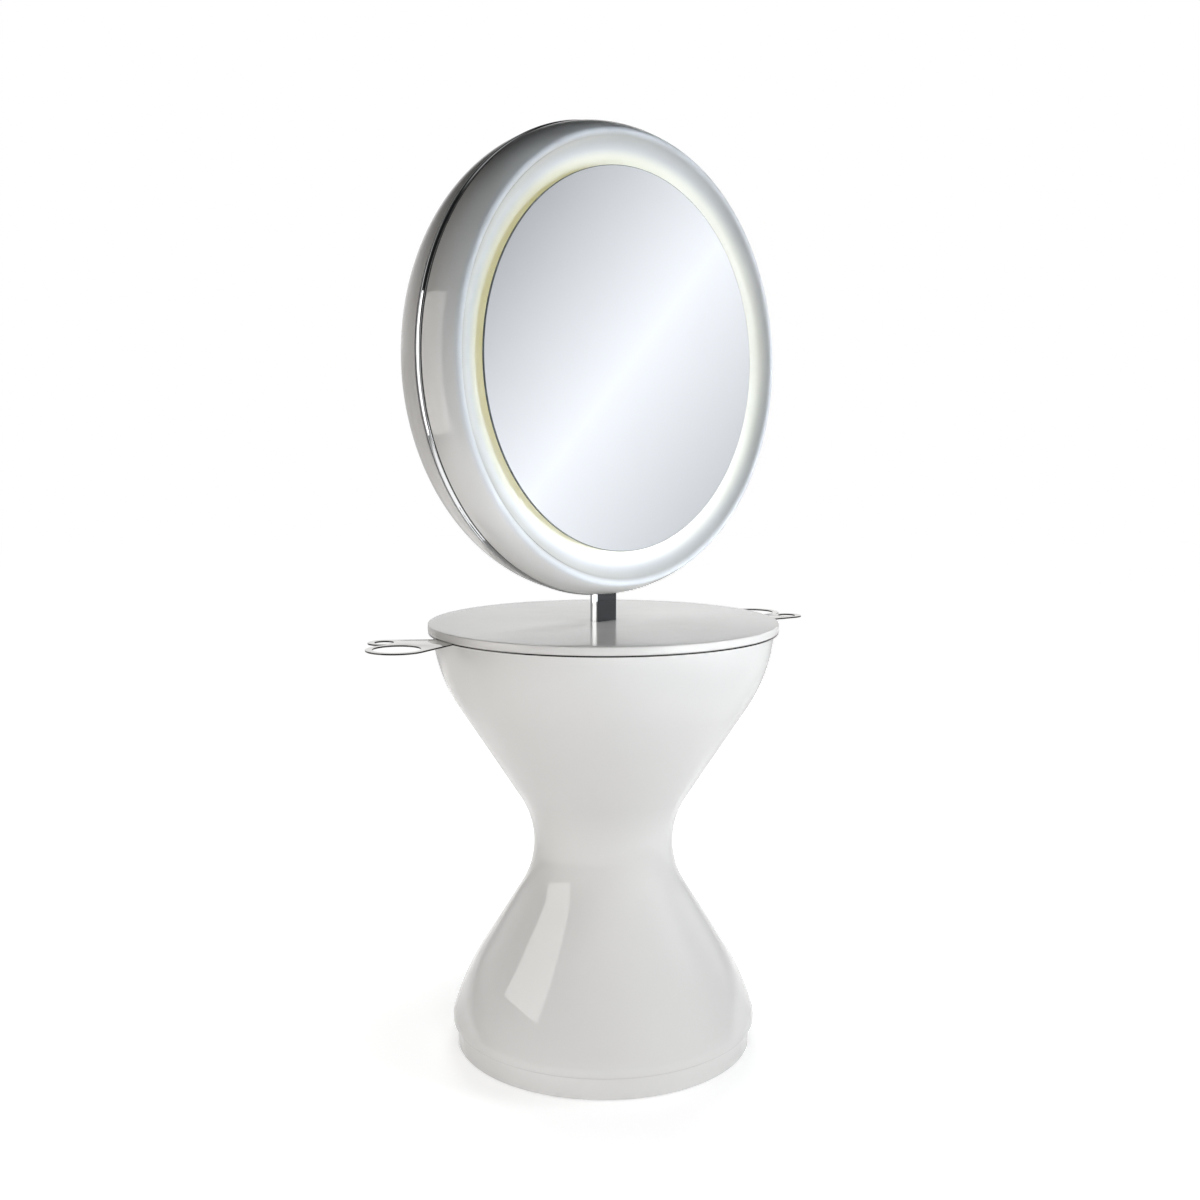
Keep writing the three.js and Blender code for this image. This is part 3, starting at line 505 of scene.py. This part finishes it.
# outer boundary of overlapping convex outlines: the runs of each one outside all others, end to start
def joinedOutline(outlines, widestGap=6):
    runs = []
    for one, outline in enumerate(outlines):
        clear = np.ones(len(outline), bool)
        for other, neighbour in enumerate(outlines):
            if other != one:
                clear &= outsideBy(outline, neighbour) > (1e-5 if other < one else -1e-5)
        first = np.flatnonzero(~clear)
        if len(first):
            outline, clear = np.roll(outline, -first[0], 0), np.roll(clear, -first[0])
        change = np.flatnonzero(np.diff(np.concatenate([[False], clear, [False]]).astype(int)))
        runs += [outline[a:b] for a, b in zip(change[::2], change[1::2]) if b - a > 2]
    chain = [runs.pop(int(np.argmax([len(run) for run in runs])))]
    while runs:
        gap = [np.linalg.norm(run[0] - chain[-1][-1]) for run in runs]
        if min(gap) > widestGap:
            break
        chain.append(runs.pop(int(np.argmin(gap))))
    return np.concatenate(chain)


# true where a line to the right of a point crosses the outlines an odd number of times
def oddInside(points, outlines):
    edges = np.concatenate([np.concatenate([outline, np.roll(outline, -1, 0)], 1) for outline in outlines])
    x, y = points[:, :1], points[:, 1:]
    x0, y0, x1, y1 = edges.T
    spans = (y0 > y) != (y1 > y)
    rise = np.where(y1 == y0, 1.0, y1 - y0)
    return np.sum(spans & (x < x0 + (x1 - x0) * (y - y0) / rise), 1) % 2 == 1


# flat plate with rounded edges: each outline carries a half round profile, and the two flats are filled
# between the profile's ends; outlines run anticlockwise and holes clockwise, so the side is always right
def platePoints(outlines, low, high, edge):
    way = np.concatenate([arc((-edge, high - edge), edge, 90, 0, 5), arc((-edge, low + edge), edge, 0, -90, 5)])
    points, faces, flat, rims, count = [], [], [], [], 0
    for outline in outlines:
        ahead = np.roll(outline, -1, 0) - np.roll(outline, 1, 0)
        side = np.stack([ahead[:, 1], -ahead[:, 0]], 1) / np.linalg.norm(ahead, axis=1)[:, None]
        ring = outline[None] + way[:, :1, None] * side[None]
        high3 = np.repeat(way[:, 1][:, None, None], len(outline), 1)
        points.append(np.concatenate([ring, high3], -1).reshape(-1, 3))
        faces += (gridFaces(len(way), len(outline), wrapRows=False) + count).tolist()
        start = sum(len(part) for part in flat)
        flat.append(ring[0])
        index = np.arange(len(outline))
        rims += (np.stack([index, (index + 1) % len(outline)], 1) + start).tolist()
        count += len(way) * len(outline)
    spots = np.concatenate(flat)
    filled = geometry.delaunay_2d_cdt([Vector(spot) for spot in spots.tolist()], rims, [], 2, 1e-5)
    flatSpots = np.array([tuple(spot) for spot in filled[0]])
    triangles = np.array(filled[2])
    triangles = triangles[oddInside(flatSpots[triangles].mean(1), flat)]
    for height in (high, low):
        points.append(np.column_stack([flatSpots, np.full(len(flatSpots), height)]))
        faces += (triangles + count).tolist()
        count += len(flatSpots)
    return np.concatenate(points), faces


# tool plate: a disc with two ears of two tapered links each, and a ring at the end of each link; the dryer and
# hand links are length, bore and width, the ears reach, place and heading
tool = {"radius": 349.5, "low": 847.4, "high": 850.4, "edge": 0.9, "neckRadius": 27, "spread": 41,
        "dryer": (129, 44, 13), "hand": (121, 18, 13), "ears": [(338, 165.6, 184), (324, -20.6, 30.7)],
        "screwRadius": 3.4, "discStep": 1.6, "linkStep": 0.7, "ringPoints": 144, "screwPoints": 32,
        "slotPoints": 120}


def polar(radius, degrees):
    return np.array([radius * math.cos(math.radians(degrees)), radius * math.sin(math.radians(degrees))])


def holeOutline(centre, radius, count):  # clockwise
    return arc(centre, radius, 360, 0, count + 1)[:-1]


toolOutlines = [evenOutline(arc((0, 0), tool["radius"], 0, 360, 1500)[:-1], tool["discStep"])]
toolHoles = []
for reach, placing, heading in tool["ears"]:
    neck = polar(reach, placing)
    for (link, bore, width), turn in ((tool["dryer"], heading), (tool["hand"], heading - tool["spread"])):
        centre = neck + polar(link, turn)
        linkShape = linkOutline(neck, tool["neckRadius"], centre, bore + width)
        toolOutlines.append(evenOutline(linkShape, tool["linkStep"]))
        toolHoles.append(holeOutline(centre, bore, tool["ringPoints"]))
slotAngle = slotAngles(tool["slotPoints"])[::-1]
slotWay = np.stack([np.cos(slotAngle), np.sin(slotAngle)], 1)
slotOutline = roundedReach(slotAngle, *table["slot"])[:, None] * slotWay
for number in range(1, 5):
    toolHoles.append(holeOutline(nodeSpot(f"table_screw_{number}"), tool["screwRadius"], tool["screwPoints"]))
toolPoints, toolFaces = platePoints([joinedOutline(toolOutlines), *toolHoles, slotOutline],
                                    tool["low"], tool["high"], tool["edge"])
addPiece("toolPlate", toolPoints, toolFaces, "polished_steel", ["tool_plate"])
print("table: top and tool plate")

# post: a rounded rectangle carried up, with its bore, as one closed wall; half of each narrow face leans back a
# little, so that it catches the light on its own
post = {"size": (60, 20, 5), "bore": (56, 16, 3), "lean": math.radians(12), "low": 699.7, "high": 1436,
        "points": 160, "rows": 24}
postAngle = slotAngles(post["points"])
postWay = np.stack([np.cos(postAngle), np.sin(postAngle)], 1)
facing = np.abs(postWay @ (math.cos(post["lean"]), math.sin(post["lean"])))
bevelReach = post["size"][0] / 2 * math.cos(post["lean"]) / np.maximum(facing, 0.05)
postOuter = np.minimum(roundedReach(postAngle, *post["size"]), bevelReach)[:, None] * postWay
postInner = roundedReach(postAngle, *post["bore"])[:, None] * postWay
heights = np.linspace(post["low"], post["high"], post["rows"])
wallRows = [(postOuter, height) for height in heights] + [(postInner, height) for height in heights[::-1]]
postPoints = np.stack([np.column_stack([ring, np.full(len(ring), height)]) for ring, height in wallRows])
# painted reflection: the post's finish paints its broad faces dark
addPiece("chromePost", postPoints, gridFaces(len(wallRows), post["points"]), "chrome", ["chrome_post"],
         finish=postChromePaintedDark)

# band: a crowned strip carried round the head and open at the bottom for the post, between two dark rubber strips in
# its grooves, a painted shade standing in for the grooves' shadow
band = {"radius": 453.5, "crown": 3.5, "half": 6.0, "inside": 446.5, "gap": 30.3, "steps": 360, "crownSteps": 17,
        "sealInner": 6.05, "sealOuter": 10.25, "sealTop": 453.4, "sealRound": 0.8}


def openRing(name, profile, slot, replaced):  # closed profile (reach, depth) swung round the head
    gapAngle = math.degrees(math.asin(band["gap"] / band["inside"]))
    swing = np.radians(np.linspace(-90 + gapAngle, 270 - gapAngle, band["steps"]))
    points = np.stack([np.outer(profile[:, 0], np.cos(swing)), np.repeat(profile[:, 1:2], band["steps"], 1),
                       np.outer(profile[:, 0], np.sin(swing)) + headHeight], -1)
    ends = [list(range(first, points[..., 0].size, band["steps"])) for first in (0, band["steps"] - 1)]
    faces = gridFaces(len(profile), band["steps"], wrapColumns=False).tolist() + ends
    addPiece(name, points, faces, slot, replaced)


crown = np.radians(np.linspace(-90, 90, band["crownSteps"]))
openRing("chromeBand", np.concatenate([
    [(band["inside"], -band["half"])],
    np.stack([band["radius"] + band["crown"] * np.cos(crown), band["half"] * np.sin(crown)], 1),
    [(band["inside"], band["half"])]]), "chrome", ["chrome_band"])
sealRound = band["sealRound"]
grooveShadeProfile = np.concatenate([
    [(band["inside"], band["sealInner"])],
    arc((band["sealTop"] - sealRound, band["sealInner"] + sealRound), sealRound, -90, 0, 5),
    arc((band["sealTop"] - sealRound, band["sealOuter"] - sealRound), sealRound, 0, 90, 5),
    [(band["inside"], band["sealOuter"])]])
# painted shade: dark strips fill the grooves beside the band
for word, side in (("front", -1), ("rear", 1)):
    openRing(word + "Seal", grooveShadeProfile * (1, side), "foot_rubber", [])


# head shell: outer wall, rolled lip, cove and floor as arcs that run into each other, and the same arcs
# again inside at the wall's thickness
head = {"rim": 454.5, "halfGap": 10.3, "wallBend": 123.5, "lip": (426.5, 73.8), "lipRound": 8.0,
        "coveBend": 48, "floor": 48, "floorInner": 262, "wall": 4, "steps": 26, "sides": 288}


def shellProfile(head):
    rimSpot, lip = np.array([head["rim"], head["halfGap"]]), np.array(head["lip"])
    span = lip - rimSpot
    size = np.linalg.norm(span)
    reach = head["wallBend"] - head["lipRound"]
    toFoot = (head["wallBend"] ** 2 - reach ** 2 + size ** 2) / (2 * size)
    ahead = span / size
    aside = np.array([-ahead[1], ahead[0]])
    wallCentre = rimSpot + ahead * toFoot + aside * math.sqrt(head["wallBend"] ** 2 - toFoot ** 2)
    coveHeight = head["floor"] + head["coveBend"]
    coveCentre = lip - (math.sqrt((head["lipRound"] + head["coveBend"]) ** 2 - (coveHeight - lip[1]) ** 2), 0)
    coveCentre[1] = coveHeight
    lipStart = math.degrees(math.atan2(*(lip - wallCentre)[::-1]))
    lipEnd = math.degrees(math.atan2(*(coveCentre - lip)[::-1]))

    def face(inset, steps):
        wallBend = head["wallBend"] - inset
        wallStart = math.degrees(math.asin((head["halfGap"] - wallCentre[1]) / wallBend))
        return np.concatenate([
            arc(wallCentre, wallBend, wallStart, lipStart, steps),
            arc(lip, head["lipRound"] - inset, lipStart, lipEnd, steps)[1:],
            arc(coveCentre, head["coveBend"] + inset, lipEnd - 180, -90, steps)[1:],
            [(head["floorInner"], head["floor"] - inset)]])

    return np.concatenate([face(0, head["steps"]), face(head["wall"], head["steps"] // 3)[::-1]])


# glass: a disc with a flat face and small ground edges; lamp: a tube bent into a ring
glass = {"radius": 366, "back": 66.3, "face": 71.3, "round": 1.0, "rings": (0.97, 0.5, 0.0), "sides": 288}
lamp = {"radius": 325, "depth": 57.5, "tube": 7, "around": 20, "sides": 240}
shell = shellProfile(head)
glassEdge = glass["radius"] - glass["round"]
glassProfile = np.concatenate([
    [(0, glass["back"])], arc((glassEdge, glass["back"] + glass["round"]), glass["round"], -90, 0, 5),
    arc((glassEdge, glass["face"] - glass["round"]), glass["round"], 0, 90, 5),
    [(share * glass["radius"], glass["face"]) for share in glass["rings"]]])
lampProfile = arc((lamp["radius"], lamp["depth"]), lamp["tube"], 0, 360, lamp["around"] + 1)[:-1]
for word, side in (("front", -1), ("rear", 1)):
    outward = (1, side)
    addPiece(word + "Shell", turned(shell * outward, head["sides"], headHeight),
             gridFaces(len(shell), head["sides"]), "gloss_white", [word + "_shell"], finish=headWhite)
    addPiece(word + "Glass", turned(glassProfile * outward, glass["sides"], headHeight),
             gridFaces(len(glassProfile), glass["sides"], wrapRows=False), "mirror", [word + "_mirror"], sharp=10)
    addPiece(word + "Lamp", turned(lampProfile * outward, lamp["sides"], headHeight),
             gridFaces(len(lampProfile), lamp["sides"]), "lamp", [word + "_lamp"])
print("head: post, band, shells, glass and lamps")

# carried-over CAD nodes take the same finishes by the name of their slot
dressed = 0
for node in nodes.values():
    if not node.hide_render:
        for holder in node.material_slots:
            holder.material = finishes[holder.material.name.split(".")[0]]
            dressed += 1
print("carried-over nodes dressed:", dressed)

# camera: at the photograph's place, turned a hair to the left and tipped down
view = {"distance": 2.76235, "height": 1.24362, "bearing": math.radians(45), "tip": 0.12111,
        "turn": -0.002384, "focal": 1388.67, "picture": 1200, "sensor": 36}
ahead0 = np.array([math.sin(view["bearing"]), math.cos(view["bearing"]), 0])
right0 = np.array([math.cos(view["bearing"]), -math.sin(view["bearing"]), 0])
upright = np.array([0, 0, 1.0])
ahead1 = ahead0 * math.cos(view["turn"]) + right0 * math.sin(view["turn"])
rightWay = right0 * math.cos(view["turn"]) - ahead0 * math.sin(view["turn"])
aheadWay = ahead1 * math.cos(view["tip"]) - upright * math.sin(view["tip"])
upWay = upright * math.cos(view["tip"]) + ahead1 * math.sin(view["tip"])
middle = np.array([axisX / 1000, 0, 0])
eye = middle - ahead0 * view["distance"] + upright * view["height"]
cameraData = bpy.data.cameras.new("camera")
cameraData.sensor_width = view["sensor"]
cameraData.lens = view["focal"] / view["picture"] * view["sensor"]
camera = bpy.data.objects.new("camera", cameraData)
cameraRows = np.column_stack([rightWay, upWay, -aheadWay, eye]).tolist()
camera.matrix_world = Matrix([*cameraRows, [0, 0, 0, 1]])
bpy.context.scene.collection.objects.link(camera)
bpy.context.scene.camera = camera

# studio: white floor and surround, dark ceiling, one warm softbox at the left, a cool scrim at the right; the
# surround's levels are what reflections see
surround = {"backGrey": 0.58, "rightGrey": 0.45, "leftGrey": 0.45, "topGrey": 0.5, "darkest": 0.015}


def rays(start, *kinds):  # 1 for rays of any of these kinds
    flags = [start.node("LightPath", out=f"Is {kind} Ray") for kind in kinds]
    return sum(flags[1:], flags[0])


def grey(level):
    return level.node("CombineXYZ", {}, {0: level, 1: level, 2: level})


# surround: white to the eye; in reflections white behind the object, grey all round, dark above that and grey
# straight overhead, as in a studio; the lamps alone light the object
world = bpy.data.worlds.new("surround")
world.use_nodes = True
world.node_tree.nodes.clear()
start = Wire(world.node_tree)
way = start.node("TexCoord", out="Generated")
skyward = way.part("Z")
behind = way.dot(ahead0).ease(0.0, 0.7)
beside = way.dot(right0).ease(-0.2, 0.8)
backLevel = surround["backGrey"] + (1.0 - surround["backGrey"]) * skyward.ease(0.0, 0.09)
mirrored = behind * backLevel + (1.0 - behind) * beside * surround["rightGrey"]
mirrored = mirrored * (1.0 - skyward.ease(0.2, 0.6)) + surround["darkest"]
mirrored = mirrored + skyward.ease(0.92, 0.985) * surround["topGrey"]
mirrored = mirrored + (1.0 - behind) * (1.0 - beside) * (1.0 - skyward.ease(0.1, 0.32)) * surround["leftGrey"]
seen = rays(start, "Camera", "Transmission").mix(colour(0, 0, 0), colour(1, 1, 1))
sky = rays(start, "Glossy").mix(seen, grey(mirrored))
start.node("OutputWorld", {}, {"Surface": start.node("Background", {}, {"Color": sky, "Strength": 1.0})})
bpy.context.scene.world = world


def addStage(name, points, faces, finish):
    mesh = bpy.data.meshes.new(name)
    mesh.from_pydata([tuple(point) for point in points], [], faces)
    mesh.materials.append(finish)
    thing = bpy.data.objects.new(name, mesh)
    bpy.context.scene.collection.objects.link(thing)
    return thing


# floor: pale, keeps the shadow near the object and fades into the white surround; in reflections it stays pale
# close by and behind the object, falls to dark further out and meets the surround's grey at the horizon
floor = {"radius": 14, "sides": 96, "tone": colour(0.8, 0.8, 0.8), "lift": 0.5, "dark": 0.88, "horizon": 0.375}
floorFinish, start = newFinish("floor_pale")
place = objectPlace(start)
away = place.length()
heading = place.dot(ahead0) / (away + 0.01)
sideways = place.dot(right0) / (away + 0.01)
lift = floor["lift"] + (1.0 - floor["lift"]) * away.ease(0.3, 1.1)
horizon = away.ease(3.0, 6.0) * (1.0 - sideways.ease(0.65, 0.97)) * floor["horizon"]
distant = away.ease(1.5, 3.2) * (1.0 - heading.ease(0.1, 0.7)) * floor["dark"] * (1.0 - horizon)
backDim = away.ease(0.6, 1.6) * heading.ease(0.1, 0.7) * (1.0 - surround["backGrey"])
mirrored = lift * (1.0 - distant) * (1.0 - backDim)
glow = rays(start, "Camera", "Transmission") * lift + rays(start, "Glossy") * mirrored
surface(start, {"Base Color": floor["tone"], "Roughness": 0.9, "Specular IOR Level": 0.0,
                "Emission Color": grey(glow), "Emission Strength": 1.0})
floorAngle = np.linspace(0, 2 * np.pi, floor["sides"], endpoint=False)
floorPoints = floor["radius"] * np.stack([np.cos(floorAngle), np.sin(floorAngle), 0 * floorAngle], 1)
addStage("floor", floorPoints, [list(range(floor["sides"]))], floorFinish)


# card: a flat sheet that only bright surfaces see in their reflections
def addCard(name, corners, finish):
    card = addStage(name, corners, [[0, 1, 2, 3]], finish)
    card.visible_camera = card.visible_diffuse = card.visible_shadow = card.visible_transmission = False
    return card


def emit(start, tint):
    start.node("OutputMaterial", {}, {"Surface": start.node("Emission", {}, {"Color": tint, "Strength": 1.0})})


def uprightCard(name, look):
    finish, start = newFinish(look["finish"])
    emit(start, colour(*(look["level"] * part for part in look["tint"])))
    left, right, low, high = look["left"], look["right"], look["low"], look["high"]
    addCard(name, [(*left, low), (*right, low), (*right, high), (*left, high)], finish)


uprightCard("softbox", {"finish": "softbox_warm", "level": 2.9, "tint": (1.0, 0.985, 0.955), "left": (-1.60, 0.12),
                        "right": (-1.33, 1.20), "low": 0.62, "high": 2.08})

# edge card: a low bright strip far out at the right, which the table's edge picks up; a grey screen hides it
# from the pedestal
uprightCard("edgeCard", {"finish": "strip_cool", "level": 6.0, "tint": (0.96, 0.98, 1.0), "left": (-0.98, -4.2),
                         "right": (3.7, -2.1), "low": 0.15, "high": 0.55})
uprightCard("lowScreen", {"finish": "screen_grey", "level": 0.5, "tint": (1.0, 1.0, 1.0), "left": (-0.40, -1.30),
                          "right": (1.25, -0.70), "low": 0.01, "high": 0.56})

# scrim: what the front glass shows, a slanting bright crest that falls off to both sides; it is laid out in
# the mirrored picture and then folded back across the glass
scrim = {"depth": 4.8, "crest": (640, 350), "lean": (0.8, 0.6), "span": 250.0,
         "stops": [(0.10, 0.45), (0.50, 1.09), (0.90, 0.58)], "tint": (0.975, 0.985, 1.012),
         "corners": [(380, 40), (900, 40), (900, 700), (380, 700)]}
glassPlane = -glass["face"] / 1000


def foldBack(column, row):  # picture place to its point behind the glass, then in front of it
    across, above = column - view["picture"] / 2, view["picture"] / 2 - row
    point = eye + scrim["depth"] * (aheadWay + (rightWay * across + upWay * above) / view["focal"])
    return point * (1, -1, 1) + (0, 2 * glassPlane, 0)


lean = (scrim["lean"][0] * rightWay - scrim["lean"][1] * upWay) * (1, -1, 1) * view["focal"] / scrim["depth"]
scrimFinish, start = newFinish("scrim_cool")
level = objectPlace(start).vector("SUBTRACT", foldBack(*scrim["crest"])).dot(lean) / (2 * scrim["span"]) + 0.5
stops = [(at, colour(*(value * part for part in scrim["tint"]))) for at, value in scrim["stops"]]
emit(start, level.node("ValToRGB", {"stops": stops}, {"Fac": level}, "Color"))
addCard("scrim", [foldBack(*corner) for corner in scrim["corners"]], scrimFinish)


# lamps: broad panels that light the object and show in no reflection
def addLamp(name, place, target, size, watts, tint, spread=180):
    data = bpy.data.lights.new(name, "AREA")
    data.shape, (data.size, data.size_y), data.energy, data.color = "RECTANGLE", size, watts, tint
    data.spread = math.radians(spread)
    panel = bpy.data.objects.new(name, data)
    panel.matrix_world = Matrix.Translation(place) @ (
        Vector(target) - Vector(place)).to_track_quat("-Z", "Y").to_matrix().to_4x4()
    panel.visible_camera = panel.visible_glossy = False
    bpy.context.scene.collection.objects.link(panel)


addLamp("rightKey", (1.9, -2.5, 1.2), (0, 0, 0.9), (1.8, 2.0), 45.0, (0.96, 0.98, 1.0))
addLamp("leftFill", (-2.2, 0.8, 0.8), (0, 0, 0.8), (1.6, 1.4), 15.0, (1.0, 0.965, 0.92))
addLamp("lowFront", (-1.8, -2.4, 0.4), (0, 0, 0.5), (2.0, 0.7), 13.0, (1.0, 0.99, 0.98))
addLamp("hipFill", (-1.15, -1.4, 0.95), (0, 0, 0.15), (1.3, 0.5), 2.6, (0.99, 0.99, 1.0), 75)
addLamp("headFront", (0.0, -2.7, 0.98), (0, 0, 1.18), (0.7, 0.4), 1.0, (0.92, 0.97, 1.0), 24)
addLamp("headHigh", (-0.25, -2.8, 1.55), (0, 0, 1.52), (0.7, 0.7), 1.0, (0.86, 0.94, 1.0), 26)
addLamp("tableTop", (1.3, -0.9, 2.3), (0.1, -0.12, 0.88), (0.5, 0.5), 0.4, (0.97, 0.99, 1.0), 34)
addLamp("rearFill", (0.9, 2.9, 1.2), (0, 0, 0.9), (2.0, 1.8), 20.0, (1.0, 0.98, 0.95))
addLamp("backTop", (1.5, 1.5, 2.7), (0, 0, 0.87), (1.4, 1.4), 32.0, (0.98, 0.99, 1.0))
bpy.context.scene.view_settings.view_transform = "Standard"
print("studio: floor, cards and lamps")

bpy.context.view_layer.update()
